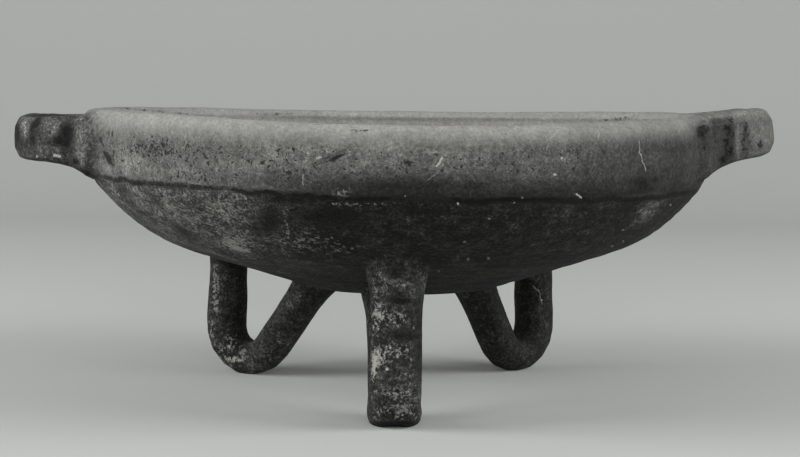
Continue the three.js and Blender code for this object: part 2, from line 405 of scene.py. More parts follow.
gouges = [        # middle, half length and half width in photo pixels, turn in degrees, depth in metres
    {"at": (329, 159), "half": (15, 2.4), "turn": -21, "depth": 0.0015},
    {"at": (105, 154), "half": (10, 2.8), "turn": 66, "depth": 0.0012},
    {"at": (111, 158), "half": (5, 1.8), "turn": -70, "depth": 0.0008},
    {"at": (101, 138), "half": (5, 1.4), "turn": 72, "depth": 0.0006},
    {"at": (112, 132), "half": (5, 1.2), "turn": 85, "depth": 0.0006},
    {"at": (509, 147), "half": (6, 1.8), "turn": 14, "depth": 0.0007},
    {"at": (402, 163), "half": (7, 3.5), "turn": 0, "depth": 0.0007},
    {"at": (356, 159), "half": (2.4, 1.8), "turn": 0, "depth": 0.0007},
    {"at": (442, 165), "half": (3.5, 2.2), "turn": 40, "depth": 0.0005},
    {"at": (404, 303), "half": (13, 4), "turn": 8, "depth": 0.0006},
    {"at": (380, 387), "half": (13, 2), "turn": 40, "depth": 0.0005},
]
wrinkles = [        # pressed round the right handle's arms: X, half width, depth in metres
    (0.1425, 0.0018, 0.0004),
    (0.1490, 0.0022, -0.0003),
    (0.1555, 0.0022, 0.0005),
    (0.1612, 0.0020, -0.0004),
    (0.1662, 0.0018, 0.0004),
]


def turnOf(places):        # angle round the bowl's axis, in radians
    return np.arctan2(places[:, 1], places[:, 0] - bowlAxis(places[:, 2]))


def warpedHeight(places):        # height with the rim's warp taken out
    share = np.clip(heightShare(places[:, 2]), 0, 1.2)
    return places[:, 2] - relief["rimWarp"] * np.cos(2 * turnOf(places)) * share ** 2


def offGroove(places):        # height above the incised line, which sags from left to right
    line = relief["grooveHeight"] - relief["grooveSag"] * fade(places[:, 0], *relief["sagAlong"])
    return places[:, 2] - line


spotEdge = 2.4        # how sharply a spot ends; 2 is a bell


def pixelSpot(pixels, spot):        # 1 at a spot's middle, fading out to 0 past its edge
    turn = math.radians(spot["turn"])
    offset = pixels - np.array(spot["at"])
    along = offset[:, 0] * math.cos(turn) + offset[:, 1] * math.sin(turn)
    across = offset[:, 1] * math.cos(turn) - offset[:, 0] * math.sin(turn)
    reach = np.hypot(along / spot["half"][0], across / spot["half"][1])
    return np.exp(-(reach ** spotEdge))


def facingCamera(places, normals, low, high):        # 0 turned away, 1 turned to the camera
    return fade((normals * (np.array(camera.location) - places)).sum(1), low, high)


borders = {        # where one part of the vessel fades into the next, in metres but for the turn
    "handleRadius": (0.1545, 0.158),
    "handleHeight": (0.09, 0.10),
    "footBelow": (-0.005, -0.001),        # height over the bowl's underside
    "insideTurn": (0.1, 0.5),             # how far the surface looks up and inward
    "insideTop": (0.131, 0.137),
}


def regions(places, normals):        # shares of each point in the handles, the feet and the inside
    fromAxis = places[:, 0] - bowlAxis(places[:, 2])
    radius = np.maximum(np.hypot(fromAxis, places[:, 1]), tiny)
    outward = (normals[:, 0] * fromAxis + normals[:, 1] * places[:, 1]) / radius
    height = warpedHeight(places)
    handle = fade(radius, *borders["handleRadius"]) * fade(height, *borders["handleHeight"])
    under = vessel["baseHeight"] + np.maximum(radius - vessel["baseRadius"], 0) * vessel["underSlope"]
    foot = 1 - fade(height - under, *borders["footBelow"])
    inside = fade(normals[:, 2] - outward, *borders["insideTurn"]) * (1 - handle) * (1 - foot)
    inside = inside * (1 - fade(height, *borders["insideTop"]))
    return {"radius": radius, "outward": outward, "height": height,
            "handle": handle, "foot": foot, "inside": inside}


frontFoot = {        # its end is pressed squarer than a round roll
    "at": (0.00155, -0.0934, 0.012),        # middle of its flat, and the height where rounding starts
    "nearness": -0.06,       # no other foot lies nearer the front than this
    "squareness": 3.6,       # 2 is round
    "toe": 0.004,            # metres that the end is pushed forward
    "toeDepth": 0.008,       # in front of the flat's middle, where that push is full
}


def squareFrontFoot(places):
    middle, front, height = frontFoot["at"]
    offset = places[:, [0, 2]] - (middle, height)
    low = (places[:, 1] < frontFoot["nearness"]) & (offset[:, 1] < 0)
    reach = np.maximum(np.hypot(offset[:, 0], offset[:, 1]), tiny)
    power = frontFoot["squareness"]
    corner = (np.abs(offset / reach[:, None]) ** power).sum(1) ** (-1 / power)
    forward = fade(height - places[:, 2], 0, height)
    forward = forward * fade(front - places[:, 1], 0, frontFoot["toeDepth"])
    places[:, 1] -= frontFoot["toe"] * forward * low
    places[:, 0] += offset[:, 0] * (corner - 1) * low
    places[:, 2] += offset[:, 1] * (corner - 1) * low


def grooveDepths(places, area):        # the incised line under the wall, and the fainter one below it
    around = places * (1, 1, 0)
    outer = (1 - area["handle"]) * (1 - area["foot"]) * (1 - area["inside"])
    outer = outer * (1 - fade(np.abs(places[:, 0]), *relief["grooveEnds"]))
    drift = relief["grooveDrift"] * mottle(around, *patchiness["grooveDrift"])
    worn = blend(*relief["grooveWear"], fade(mottle(around, *patchiness["grooveWear"]), -0.5, 0.3))
    offLine = (offGroove(places) - drift) / relief["grooveHalf"]
    offSecond = offLine + relief["secondBelow"] / relief["grooveHalf"]
    broken = fade(mottle(around, *patchiness["second"]), -0.1, 0.5)
    first = relief["grooveDepth"] * worn * np.exp(-offLine ** 2) * outer
    second = relief["secondDepth"] * broken * np.exp(-offSecond ** 2) * outer
    return first, second


def wheelLines(places, area):        # fine rings, stronger in some places than in others
    shift = mottle(places * (1, 1, 0.2), *patchiness["turningShift"])
    wave = area["height"] / relief["turningPitch"] + relief["turningShift"] * shift
    strength = blend(0.4, 1.0, fade(mottle(places, *patchiness["turningDepth"]), -0.3, 0.5))
    rings = relief["turningLines"] * np.sin(2 * math.pi * wave) * strength
    return rings * (1 - area["foot"]) * (1 - area["handle"])


def shapeRelief(piece):
    places = readPoints(piece)
    normals = readNormals(piece)
    area = regions(places, normals)
    pixels = pixelsOf(places)
    facing = facingCamera(places, normals, 0.02, 0.2)
    push = sum(depth * mottle(places, *lumpiness) for depth, *lumpiness in unevenness)
    for depth in grooveDepths(places, area):
        push -= depth
    push += wheelLines(places, area)
    for gouge in gouges:
        push -= gouge["depth"] * pixelSpot(pixels, gouge) * facing
    for at, half, depth in wrinkles:
        ring = depth * np.exp(-(((places[:, 0] - at) / half) ** 2))
        push -= ring * fade(-normals[:, 1], 0.2, 0.8) * fade(area["height"], *relief["wrinkleHeight"])
    rolled = np.maximum(area["handle"], area["foot"])
    push += relief["rollDents"] * mottle(places, *patchiness["rollDents"]) * rolled
    rise = millimetre * np.interp(np.degrees(turnOf(places)), lipRise["turn"], lipRise["rise"])
    places += normals * push[:, None]
    squareFrontFoot(places)
    places[:, 2] += rise * fade(area["height"], *relief["lipHeight"]) * (1 - area["handle"])
    writePoints(piece, places)


def keepInBox(piece):        # the relief doesn't reach past the solid's own box, and the feet stand flat
    places = readPoints(piece)
    low, high = [np.array(corner) for corner in cadBox]
    writePoints(piece, np.clip(places, low, high))


shapeRelief(bowl)


def thinOut(piece):        # fewer faces first where the photograph doesn't look, then everywhere
    places = readPoints(piece)
    normals = readNormals(piece)
    unseen = (normals * (np.array(camera.location) - places)).sum(1) < vessel["unseenTurn"]
    unseen |= regions(places, normals)["inside"] > vessel["unseenInside"]
    group = piece.vertex_groups.new(name="unseen")
    group.add(np.nonzero(unseen)[0].tolist(), 1.0, "REPLACE")
    share = 1 - unseen.mean() * (1 - vessel["unseenShare"])
    applyModifier(piece, "DECIMATE", ratio=share, vertex_group="unseen")
    piece.vertex_groups.clear()
    triangles = sum(len(face.vertices) - 2 for face in piece.data.polygons)
    applyModifier(piece, "DECIMATE", ratio=min(1.0, vessel["faces"] / triangles))


thinOut(bowl)
keepInBox(bowl)
makeActive(bowl)
bpy.ops.object.shade_smooth()
bowl.data.materials.clear()
print("relief made,", len(bowl.data.polygons), "faces")


# Finish: where the clay is pale, dark, crusted or pitted

# Lightness of the clay in bands of height: worn grey towards the left, smoked darker towards
# the right, and from which X to which X, in metres, the one turns into the other.
bands = {
    "lip": {"worn": 0.24, "smoked": 0.17, "from": 0.03, "to": 0.15},
    "wall": {"worn": 0.092, "smoked": 0.026, "from": 0.0, "to": 0.130},
    "lowWall": {"worn": 0.115, "smoked": 0.014, "from": -0.15, "to": 0.0},
    "belly": {"worn": 0.066, "smoked": 0.0095, "from": -0.11, "to": -0.02},
}
bandEdges = {        # heights where one band fades into the next, in metres
    "lowWall": (0.110, 0.1235),
    "belly": (-0.002, 0.001),        # above the groove
    "underside": (0.060, 0.080),
    "lip": (0.1265, 0.1400),
    "lipInside": (0.112, 0.120),     # what is placed on the photograph stays above this, inside
}
handleEdges = {        # where the clay of the handles starts, in metres
    "radius": (0.148, 0.158),
    "side": (0.128, 0.145),
    "rightRoot": (0.150, 0.166),
}
tones = {
    "underside": 0.011,
    "inside": 0.225,
    "foot": 0.018,
    "rightFoot": 0.010,
    "leftHandle": 0.024,
    "rightHandle": 0.056,
    "rightRoot": 0.030,
    # painted highlight: the handles' up-facing tops are lighter, as if lit from above
    "handleTopHighlight": 0.15,
    "handleTopHighlightShares": (0.15, 0.9),        # how far the left and the right one come up to it
    "undersideShare": 0.85,
    "rightFootFrom": 0.04,        # X in metres
}
mottling = {        # how strongly the clay is mottled in each place
    "lip": 0.35,
    "wall": 0.95,
    "belly": 2.0,            # and the feet
    "leftHandle": 1.5,
    "rightHandle": 0.7,
}
# Pale crust, and dark stains and painted shade, placed on the photograph: middle, half size in pixels, turn,
# amount.
crusts = [
    {"at": (196, 222), "half": (62, 26), "turn": 22, "amount": 0.30},
    {"at": (226, 205), "half": (18, 14), "turn": 20, "amount": 0.30},
    {"at": (163, 206), "half": (10, 18), "turn": 0, "amount": 0.25},
    {"at": (236, 243), "half": (18, 9), "turn": 14, "amount": 0.40},
    {"at": (239, 249), "half": (14, 1.5), "turn": 14, "amount": 0.6},
    {"at": (314, 244), "half": (46, 14), "turn": 4, "amount": 0.22},
    {"at": (284, 222), "half": (12, 15), "turn": 0, "amount": 0.22},
    {"at": (342, 195), "half": (9, 6), "turn": 0, "amount": 0.42},
    {"at": (360, 204), "half": (55, 1.8), "turn": 0, "amount": 0.35},
    {"at": (387, 284), "half": (20, 12), "turn": 0, "amount": 0.30},
    {"at": (377, 316), "half": (8, 21), "turn": 0, "amount": 0.48},
    {"at": (396, 318), "half": (14, 8), "turn": -8, "amount": 0.40},
    {"at": (380, 358), "half": (7, 11), "turn": 0, "amount": 0.62},
    {"at": (374, 368), "half": (3, 17), "turn": 0, "amount": 0.70},
    {"at": (398, 352), "half": (13, 9), "turn": 0, "amount": 0.42},
    {"at": (394, 393), "half": (16, 5), "turn": 0, "amount": 0.60},
    {"at": (396, 412), "half": (22, 12), "turn": 0, "amount": 0.38},
    {"at": (215.5, 290), "half": (4, 24), "turn": 0, "amount": 0.48},
    {"at": (211, 328), "half": (3, 8), "turn": 0, "amount": 0.50},
    {"at": (230, 350), "half": (18, 16), "turn": 30, "amount": 0.40},
    {"at": (236, 360), "half": (8, 3), "turn": 0, "amount": 0.40},
]
rubbed = [        # smooth lighter places, the amount added to the lightness
    {"at": (649, 211), "half": (8, 14), "turn": 38, "amount": 0.032},
    {"at": (315, 269), "half": (46, 7), "turn": 3, "amount": 0.010},
    {"at": (387, 147), "half": (15, 7), "turn": 0, "amount": 0.035},
    {"at": (25, 127), "half": (4.5, 9), "turn": 0, "amount": 0.075},
    {"at": (50.5, 127), "half": (8, 11), "turn": 0, "amount": 0.060},
    {"at": (38, 153), "half": (20, 6), "turn": 0, "amount": 0.025},
    {"at": (81, 142), "half": (7, 24), "turn": 0, "amount": 0.070},
    {"at": (737.5, 142), "half": (2.2, 16), "turn": 0, "amount": 0.050},
    {"at": (765, 130), "half": (12, 22), "turn": 0, "amount": 0.030},
    {"at": (131, 164), "half": (16, 8), "turn": 0, "amount": 0.035},
    {"at": (236, 243), "half": (16, 8), "turn": 14, "amount": 0.045},
    {"at": (387, 284), "half": (20, 12), "turn": 0, "amount": 0.020},
]
# Dark marks: stains, and painted shade along the lip's inner edge and on the left handle.
stainsAndShade = [
    # painted shade: thin dark lines along the lip's inner edge
    {"at": (160, 111.5), "half": (48, 1.2), "turn": 5, "amount": 0.5},
    {"at": (272, 114), "half": (22, 1.4), "turn": 0, "amount": 0.5},
    {"at": (618, 119), "half": (20, 1.6), "turn": -5, "amount": 0.55},
    # painted shade: the shaded inner face of the left handle's far arm, seen over the near arm
    {"at": (42, 115), "half": (24, 2.0), "turn": 0, "amount": 0.8},
    # painted shade: the left handle's end, where it turns away from the light
    {"at": (17, 134), "half": (3.2, 12), "turn": 0, "amount": 1.0},
    {"at": (36, 123.5), "half": (11, 3.2), "turn": 129, "amount": 1.0},
    {"at": (32, 140), "half": (9, 3.2), "turn": 84, "amount": 1.0},
    {"at": (66.5, 136), "half": (7.5, 12), "turn": 0, "amount": 1.0},
    {"at": (60, 141.5), "half": (14, 4), "turn": 0, "amount": 0.9},
    {"at": (75, 161), "half": (4, 3.2), "turn": 0, "amount": 1.0},
    {"at": (85, 172), "half": (10, 2.6), "turn": 20, "amount": 1.0},
    {"at": (702, 132), "half": (6, 9.5), "turn": 10, "amount": 0.95},
    {"at": (705, 144), "half": (1.8, 6), "turn": 0, "amount": 0.9},
    {"at": (714.6, 124), "half": (2.2, 6), "turn": 0, "amount": 0.7},
    {"at": (728.5, 140), "half": (5.6, 24), "turn": -2, "amount": 0.95},
    {"at": (724, 158), "half": (4, 11), "turn": 20, "amount": 0.85},
    {"at": (745, 140), "half": (4.5, 19), "turn": 0, "amount": 0.5},
    {"at": (741.7, 153), "half": (2.2, 5), "turn": 0, "amount": 0.5},
    {"at": (760.8, 144.7), "half": (3, 5), "turn": 0, "amount": 0.85},
    {"at": (644, 183), "half": (14, 9), "turn": -10, "amount": 0.75},
    {"at": (108.5, 158.5), "half": (9, 3), "turn": 57, "amount": 1.1},
    {"at": (156, 201), "half": (21, 4), "turn": 48, "amount": 0.6},
    {"at": (270, 221), "half": (13, 15), "turn": 0, "amount": 0.75},
    {"at": (123, 190), "half": (9, 4), "turn": 30, "amount": 0.6},
    {"at": (182, 231), "half": (20, 4.5), "turn": 33, "amount": 0.65},
    {"at": (222, 261), "half": (28, 4), "turn": 18, "amount": 0.6},
    {"at": (325, 216), "half": (32, 8), "turn": 2, "amount": 0.6},
    {"at": (287, 198), "half": (31, 6), "turn": 1, "amount": 0.8},
    {"at": (336, 158.5), "half": (7, 2.4), "turn": -30, "amount": 1.1},
    {"at": (353.8, 131.2), "half": (2.4, 1.8), "turn": 0, "amount": 0.9},
    {"at": (365, 130.5), "half": (1.8, 1.4), "turn": 0, "amount": 0.8},
    {"at": (356, 159.4), "half": (2.2, 1.6), "turn": 0, "amount": 0.9},
    {"at": (410, 165.5), "half": (12, 7), "turn": 0, "amount": 0.42},
    {"at": (395, 273), "half": (11, 7), "turn": 0, "amount": 0.9},
    {"at": (399, 300), "half": (12, 4), "turn": 4, "amount": 1.0},
    {"at": (408, 335), "half": (18, 5.5), "turn": 0, "amount": 0.9},
    {"at": (419, 335), "half": (5, 50), "turn": 0, "amount": 0.7},
    {"at": (374.5, 387.5), "half": (3, 2.5), "turn": 0, "amount": 1.0},
    {"at": (398, 424), "half": (26, 3.5), "turn": 0, "amount": 1.0},
]
pitting = {
    "along": (-0.16, -0.125, -0.103, -0.074, -0.055, 0.0, 0.05, 0.17),        # X in metres
    "amount": (0.10, 0.35, 1.0, 0.95, 0.50, 0.32, 0.22, 0.10),
    "smooth": {"at": (165, 168), "half": (62, 10), "turn": 4},        # where the wall has next to none
    "smoothShare": 0.85,
    "height": (0.109, 0.114),         # where pits start, above the groove
    "lipHeight": (0.126, 0.131),      # and where they end, below the lip
}
wander = {        # how far, in metres, an edge strays; size of the lumps, how many sizes, seed
    "across": (0.016, 0.04, 3, 71),
    "ragged": (0.0050, 0.03, 4, 83),
    "nearLine": (0.0016, 0.012, 3, 85),
    "lipEdge": (0.0014, 0.02, 2, 87),
}
dirt = {"below": 0.0004, "half": 0.0012}        # of the incised line, in metres
unseenCrust = 0.28        # crust on the sides that the photograph doesn't show
offPhoto = 2000           # pixels, moves points that face away out of every mark's reach


def bandTone(name, across):
    band = bands[name]
    return blend(band["worn"], band["smoked"], fade(across, band["from"], band["to"]))


def strayed(places, name):
    reach, *lumpiness = wander[name]
    return reach * mottle(places, *lumpiness)


def leftOrRight(places, left, right):        # one value for the left half and one for the right
    return np.where(places[:, 0] < 0, left, right)


def handleClay(places, area):        # share of each point that lies on the clay of a handle
    beyond = fade(area["radius"], *handleEdges["radius"]) * (1 - area["foot"]) * (1 - area["inside"])
    return beyond * fade(np.abs(places[:, 0]), *handleEdges["side"])


def clayTone(places, normals, area, zones, onHandle):        # lightness with the painted highlight on the handle tops, before crust, stains, painted shade and marks
    across = zones["across"]
    ragged = area["height"] + strayed(places * (1, 1, 1.6), "ragged")
    tone = bandTone("wall", across)
    tone = blend(tone, bandTone("lowWall", across), 1 - fade(ragged, *bandEdges["lowWall"]))
    tone = blend(tone, bandTone("belly", across), zones["onBelly"])
    underShare = (1 - fade(ragged, *bandEdges["underside"])) * tones["undersideShare"]
    tone = blend(tone, tones["underside"], underShare)
    tone = blend(tone, bandTone("lip", across), fade(zones["lipEdge"], *bandEdges["lip"]))
    tone = blend(tone, tones["inside"], zones["inner"])
    right = blend(tones["rightRoot"], tones["rightHandle"], fade(places[:, 0], *handleEdges["rightRoot"]))
    tone = blend(tone, leftOrRight(places, tones["leftHandle"], right), onHandle)
    # Painted highlight: the handles' up-facing surfaces are made lighter, as if lit from above.
    litHandleTop = onHandle * fade(normals[:, 2], 0.35, 0.8) * leftOrRight(places, *tones["handleTopHighlightShares"])
    tone = blend(tone, tones["handleTopHighlight"], litHandleTop)
    footTone = np.where(places[:, 0] > tones["rightFootFrom"], tones["rightFoot"], tones["foot"])
    return blend(tone, footTone, area["foot"])


def pitShare(places, pixels, area, zones, onHandle, facing):
    onWall = fade(area["height"], *pitting["height"]) * (1 - area["inside"]) * (1 - area["foot"])
    onWall = onWall * (1 - fade(zones["lipEdge"], *pitting["lipHeight"])) * (1 - onHandle)
    pits = np.interp(zones["across"], pitting["along"], pitting["amount"]) * onWall
    pits = pits * (1 - pitting["smoothShare"] * pixelSpot(pixels, pitting["smooth"]) * facing)
    return pits * (0.35 + 0.9 * fade(mottle(places, *patchiness["pits"]), -0.5, 0.5))


def mottleStrength(places, area, zones, onHandle):
    lipShare = fade(zones["lipEdge"], 0.126, 0.133)
    inner = zones["inner"]
    uneven = blend(mottling["lip"], mottling["wall"], (1 - lipShare) * (1 - inner))
    uneven = blend(uneven, mottling["belly"], np.maximum(zones["onBelly"] * (1 - inner), area["foot"]))
    return blend(uneven, leftOrRight(places, mottling["leftHandle"], mottling["rightHandle"]), onHandle)


def paintVessel(piece):
    places = readPoints(piece)
    normals = readNormals(piece)
    area = regions(places, normals)
    pixels = pixelsOf(places)
    facing = facingCamera(places, normals, 0.0, 0.1)
    deepInside = area["inside"] * (1 - fade(area["height"], *bandEdges["lipInside"]))
    facing = facing * (1 - deepInside)
    nearLine = offGroove(places) + strayed(places, "nearLine")
    lookingIn = fade(-area["outward"], -0.25, 0.35) * (1 - area["handle"]) * (1 - area["foot"])
    zones = {
        "across": places[:, 0] + strayed(places, "across"),
        "lipEdge": area["height"] + strayed(places, "lipEdge"),
        "onBelly": 1 - fade(nearLine, *bandEdges["belly"]),
        "inner": np.maximum(area["inside"], lookingIn),
    }
    onHandle = handleClay(places, area)
    tone = clayTone(places, normals, area, zones, onHandle)

    # The incised line holds dirt in places; crust, stains and painted shade lie over it.
    patchy = 0.55 + 0.55 * fade(mottle(places * (1, 1, 0), *patchiness["dirt"]), -0.5, 0.1)
    line = np.exp(-(((nearLine + dirt["below"]) / dirt["half"]) ** 2))
    stainAndShade = patchy * line * (1 - area["inside"]) * (1 - area["foot"]) * (1 - onHandle)
    unseen = (1 - area["inside"]) * (1 - facing)
    crust = unseenCrust * unseen * fade(mottle(places, *patchiness["unseenCrust"]), 0.0, 0.6)
    for spot in rubbed:
        tone = tone + spot["amount"] * pixelSpot(pixels, spot) * facing
    for spot in crusts:
        crust = crust + spot["amount"] * pixelSpot(pixels, spot) * facing
    for spot in stainsAndShade:
        stainAndShade = np.maximum(stainAndShade, spot["amount"] * pixelSpot(pixels, spot) * facing)
    pits = pitShare(places, pixels, area, zones, onHandle, facing)

    paint = piece.data.attributes.new("surfaceMap", "FLOAT_COLOR", "POINT")
    values = np.stack([tone, crust, pits, stainAndShade], 1)
    paint.data.foreach_set("color", np.clip(values, 0, 1.5).astype(np.float32).ravel())
    # Pixels of the photograph, and how strongly the clay is mottled.
    plane = piece.data.attributes.new("frontPlane", "FLOAT_VECTOR", "POINT")
    hidden = offPhoto * (facing < 0.02)
    uneven = mottleStrength(places, area, zones, onHandle)
    values = np.stack([pixels[:, 0] + hidden, pixels[:, 1], uneven], 1)
    plane.data.foreach_set("vector", values.astype(np.float32).ravel())


paintVessel(bowl)
print("surface painted")


# Material, from small functions that each add one node

class NodeBoard:
    def __init__(self, name):
        self.material = bpy.data.materials.new(name)
        self.material.use_nodes = True
        self.tree = self.material.node_tree
        self.shader = self.tree.nodes["Principled BSDF"]
        self.place = self.add("ShaderNodeTexCoord").outputs["Object"]

    def add(self, kind, **settings):
        node = self.tree.nodes.new(kind)
        for key, value in settings.items():
            setattr(node, key, value)
        return node

    def connect(self, socket, value):
        if isinstance(value, bpy.types.NodeSocket):
            self.tree.links.new(value, socket)
        else:
            socket.default_value = value

    def maths(self, operation, first, second=0.0, third=0.0):
        node = self.add("ShaderNodeMath", operation=operation)
        for socket, value in zip(node.inputs, (first, second, third)):
            self.connect(socket, value)
        return node.outputs[0]

    def vectors(self, operation, first, second):
        node = self.add("ShaderNodeVectorMath", operation=operation)
        self.connect(node.inputs[0], first)
        self.connect(node.inputs["Scale" if operation == "SCALE" else 1], second)
        return node.outputs[1 if operation in ("DOT_PRODUCT", "DISTANCE") else 0]

    def noise(self, scale, detail, rough, offset=0.0, stretch=(1, 1, 1), output="Fac"):
        node = self.add("ShaderNodeTexNoise")
        node.inputs["Scale"].default_value = scale
        node.inputs["Detail"].default_value = detail
        node.inputs["Roughness"].default_value = rough
        mapping = self.add("ShaderNodeMapping")
        mapping.inputs["Location"].default_value = (offset, offset * 0.7, offset * 1.3)
        mapping.inputs["Scale"].default_value = stretch
        self.connect(mapping.inputs["Vector"], self.place)
        self.connect(node.inputs["Vector"], mapping.outputs[0])
        return node.outputs[output]

    def swings(self, noises, use):        # noises round nought, each times its own weight, added up
        total = 0.0
        for name, weight in weights[use].items():
            swing = self.maths("SUBTRACT", noises[name], 0.5)
            total = self.maths("MULTIPLY_ADD", swing, weight, total)
        return total

    def between(self, value, low, high, toLow=0.0, toHigh=1.0):
        node = self.add("ShaderNodeMapRange", interpolation_type="SMOOTHSTEP")
        for socket, given in zip(node.inputs, (value, low, high, toLow, toHigh)):
            self.connect(socket, given)
        return node.outputs[0]

    def mixed(self, share, first, second):
        node = self.add("ShaderNodeMix", data_type="RGBA")
        self.connect(node.inputs[0], share)
        self.connect(node.inputs[6], first)
        self.connect(node.inputs[7], second)
        return node.outputs[2]

    def bump(self, height, distance, strength, normal=None):
        node = self.add("ShaderNodeBump")
        node.inputs["Strength"].default_value = strength
        node.inputs["Distance"].default_value = distance
        self.connect(node.inputs["Height"], height)
        if normal:
            self.connect(node.inputs["Normal"], normal)
        return node.outputs[0]


clay = {
    "tint": (1.0, 0.995, 0.93),              # of the lightness that the surface map gives
    "palest": 0.55,
    "crust": (0.125, 0.124, 0.113, 1),
    "paleCrust": (0.23, 0.227, 0.205, 1),
    "pit": (0.012, 0.012, 0.010, 1),
    "scratch": (0.34, 0.335, 0.31, 1),
    "stainAndShadeDepth": 0.88,
    "pitDepth": 0.9,
    "pitEdges": (0.715, -0.165),             # limit of the noise without pits, and its fall with them
    "shiver": 3.0,                           # pixels that the edges of marks waver by
    "crustRise": 0.35,                       # shares of the fine bump
    "pitSink": 0.9,
    "fineBump": (0.0006, 0.8),               # metres, strength
    "broadBump": (0.0012, 0.4),
    "roughness": 0.80,
    "gloss": 0.15,
}
grains = {        # noises: lumps to the metre, detail, roughness, offset, stretch
    "broad": (28, 4, 0.6),
    "patch": (80, 4, 0.6, 3.1),
    "spot": (260, 3, 0.6, 7.7),
    "grain": (650, 2, 0.6, 4.3),
    "grit": (1500, 2, 0.6, 1.9),
    "streaks": (90, 4, 0.65, 5.3, (1, 1, 4)),
    "speck": (560, 1, 0.5, 8.9),
}
shiverGrain = (500, 1, 0.5)        # the same for the noise that the edges of marks waver by
weights = {        # of each noise in what it is used for
    "lightness": {"broad": 0.8, "patch": 1.4, "spot": 1.5, "grain": 2.4, "grit": 2.3},
    "streaks": {"streaks": 1.8},
    "crust": {"patch": 0.9, "spot": 1.5, "grain": 1.7, "grit": 0.9},
    "paleCrust": {"grain": 1.6, "grit": 1.2},
    "stainAndShade": {"patch": 1.0, "spot": 2.4, "grain": 2.2},
    "height": {"spot": 0.9, "grain": 0.7, "grit": 0.4},
}
limits = {        # the values at which each of these starts and is full
    "streaks": (1.0, 2.0),
    "crust": (0.22, 0.66),
    "crustStart": (0.02, 0.15),
    "paleCrust": (0.35, 0.85),
    "stainAndShade": (0.15, 0.90),
    "stainAndShadeStart": (0.05, 0.25),
    "pit": (-0.01, 0.03),
    "pitStart": (0.03, 0.15),
}
scratches = [        # from and to on the photograph in pixels, half width, share of pale clay laid bare
    ((442.4, 158.0), (436.7, 166.3), 1.1, 0.9),
    ((438.6, 170.2), (428.4, 180.4), 0.2, 0.42),
    ((561.7, 129.0), (555.0, 132.5), 0.2, 0.68),
    ((555.0, 132.5), (550.0, 139.0), 0.2, 0.68),
    ((548.5, 145.0), (546.8, 150.0), 0.2, 0.59),
    ((551.0, 113.4), (551.7, 123.6), 0.2, 0.42),
    ((571.4, 123.0), (591.8, 113.4), 0.2, 0.42),
    ((639.0, 141.7), (640.0, 153.0), 0.2, 0.64),
    ((640.0, 153.0), (643.0, 163.0), 0.2, 0.64),
    ((643.0, 163.0), (646.7, 170.8), 0.2, 0.59),
    ((598.4, 133.2), (598.2, 138.3), 0.2, 0.51),
    ((532.5, 286.0), (539.0, 290.5), 0.3, 0.4),
    ((539.0, 290.5), (541.8, 304.0), 0.2, 0.42),
    ((577.0, 194.5), (581.0, 197.5), 0.8, 0.9),
    ((54.8, 155.3), (59.6, 156.2), 1.3, 0.9),
    ((316.8, 158.0), (320.8, 157.0), 0.8, 0.7),
    ((303.2, 174.5), (302.6, 184.5), 0.6, 0.4),
]
flecks = [        # small pale spots: middle, half width, share
    ((542.0, 300.0), 1.0, 0.6),
    ((561.5, 158.4), 1.2, 0.7),
    ((555.0, 174.3), 1.4, 0.6),
    ((458.2, 203.7), 1.1, 0.7),
    ((405.5, 196.1), 0.9, 0.6),
    ((351.7, 248.5), 0.9, 0.35),
    ((288.4, 237.5), 1.1, 0.35),
    ((623.2, 230.0), 0.9, 0.35),
    ((623.2, 241.0), 0.9, 0.35),
    ((612.2, 246.0), 0.9, 0.35),
    ((514.0, 203.0), 0.8, 0.35),
    ((522.2, 197.5), 0.8, 0.35),
    ((489.2, 218.4), 1.2, 0.3),
    ((465.2, 242.3), 1.2, 0.3),
    ((468.5, 259.3), 1.3, 0.3),
    ((488.5, 258.4), 1.3, 0.3),
    ((670.5, 205.0), 1.0, 0.35),
    ((439.0, 271.5), 0.9, 0.35),
    ((37.0, 156.8), 1.1, 0.7),
    ((326.9, 151.3), 1.2, 0.45),
    ((277.6, 154.8), 1.0, 0.35),
    ((369.4, 153.4), 1.0, 0.35),
    ((387.2, 369.0), 1.6, 0.7),
    ((407.8, 391.5), 1.0, 0.6),
    ((390.4, 347.5), 1.1, 0.6),
    ((413.8, 327.5), 0.9, 0.35),
]
cuts = [        # marks that show dark, given as the scratches are
    ((316.0, 165.0), (330.0, 160.3), 0.5, 0.6),
    ((330.0, 160.3), (341.0, 155.8), 1.3, 0.85),
    ((341.0, 155.8), (346.0, 153.6), 0.6, 0.6),
    ((104.0, 152.0), (112.5, 165.0), 1.2, 0.8),
    ((114.0, 151.0), (113.0, 160.0), 0.8, 0.8),
    ((100.0, 138.0), (103.0, 145.0), 0.9, 0.8),
    ((112.5, 131.0), (112.5, 136.5), 0.7, 0.8),
    ((108.8, 131.0), (108.8, 135.0), 0.6, 0.7),
    ((455.0, 165.0), (545.0, 164.3), 0.3, 0.35),
    ((545.0, 164.3), (638.0, 160.0), 0.3, 0.35),
]


softEdge = {"out": 0.5, "markIn": 0.3, "fleckIn": 0.4}        # of marks and flecks, in pixels


def markShare(board, plane, marks):        # how far each point of the front lies in one of the marks
    share = 0.0
    for start, end, half, amount in marks:
        run = (end[0] - start[0], end[1] - start[1], 0)
        offset = board.vectors("SUBTRACT", plane, (*start, 0))
        runSquared = run[0] ** 2 + run[1] ** 2
        along = board.maths("MULTIPLY", board.vectors("DOT_PRODUCT", offset, run), 1 / runSquared)
        along.node.use_clamp = True
        away = board.vectors("DISTANCE", offset, board.vectors("SCALE", run, along))
        mark = board.between(away, half + softEdge["out"], half - softEdge["markIn"], 0.0, amount)
        share = board.maths("MAXIMUM", mark, share)
    return share


def fleckShare(board, plane):
    share = 0.0
    for middle, half, amount in flecks:
        away = board.vectors("DISTANCE", plane, (*middle, 0))
        fleck = board.between(away, half + softEdge["out"], half - softEdge["fleckIn"], 0.0, amount)
        share = board.maths("MAXIMUM", fleck, share)
    return share


